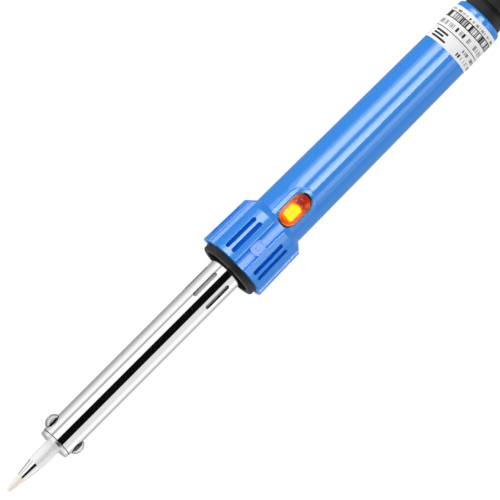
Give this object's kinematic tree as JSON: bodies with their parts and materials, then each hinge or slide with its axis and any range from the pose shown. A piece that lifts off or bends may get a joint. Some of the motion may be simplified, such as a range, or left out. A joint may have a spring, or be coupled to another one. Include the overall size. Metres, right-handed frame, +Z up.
{
  "type": "soldering iron",
  "caption": "Mains soldering iron with a conical tip, steel heater barrel, black front insulator, fluted handle with a lamp, and a ribbed cord boot.",
  "frame": {"origin": "where the cord enters: on the iron's axis, at the centre of the handle's flat rear end", "axes": "+X along the iron's axis, out with the cord, so the tip points to -X; +Z up through the lamp's lens; +Y across"},
  "size_m": [0.2856, 0.029, 0.0284],
  "materials": {
    "plated_tip": "plated, satin on the shank and tinned at the point",
    "nose_steel": "bright turned steel",
    "screw_steel": "nickel-plated steel",
    "barrel_steel": "polished stainless tube",
    "heater_metal": "oxidised resistance alloy",
    "mica": "mica sheet",
    "mica_wrap": "light grey mica and glass wrap",
    "ceramic": "unglazed steatite",
    "black_insulator": "black heat-proof moulding, slightly glossy",
    "black_plastic": "black moulding",
    "blue_plastic": "glossy blue moulding",
    "lamp_lens": "clear orange-red plastic",
    "neon_glass": "lamp glass",
    "resistor_body": "lacquered",
    "brass_clamps": "turned brass",
    "wire_metal": "nickel wire",
    "glass_sleeving": "woven glass sleeving",
    "earth_insulation": "earth wire with its covering",
    "black_rubber": "soft black moulding",
    "label_film": "white printed film",
    "neon_glow": "electrodes that glow when the lamp is on"
  },
  "bodies": {
    "iron": {"nose_bush": "nose_steel", "barrel_tube": "barrel_steel", "heater_former": "heater_metal", "inner_mica": "mica", "heater_winding": "heater_metal", "heater_wrap": "mica_wrap", "ceramic_plug": "ceramic", "front_insulator": "black_insulator", "earth_tag": "screw_steel", "lock_ring": "screw_steel", "handle_shell": "blue_plastic", "indicator_lens": "lamp_lens", "neon_bulb": "neon_glass", "neon_electrodes": "neon_glow", "lamp_saddle": "black_plastic", "lamp_resistor": "resistor_body", "terminal_block": "ceramic", "terminal_clamps": "brass_clamps", "terminal_screws": "screw_steel", "lead_wires": "wire_metal", "lead_sleeves": "glass_sleeving", "earth_wire": "earth_insulation", "lamp_leads": "wire_metal", "strain_relief_boot": "black_rubber", "cord_clamp": "black_plastic", "clamp_screws": "screw_steel", "rating_label": "label_film"},
    "tip": {"soldering_tip": "plated_tip"},
    "screw_left": {"set_screw_left": "screw_steel"},
    "screw_right": {"set_screw_right": "screw_steel"}
  },
  "joints": [
    {"name": "tip_slide", "type": "slide", "parent": "iron", "child": "tip", "axis": [-1, 0, 0], "range_m": [0, 0.056]},
    {"name": "screw_left_out", "type": "slide", "parent": "iron", "child": "screw_left", "axis": [0, 1, 0], "range_m": [0, 0.002]},
    {"name": "screw_right_out", "type": "slide", "parent": "iron", "child": "screw_right", "axis": [0, -1, 0], "range_m": [0, 0.002]}
  ]
}
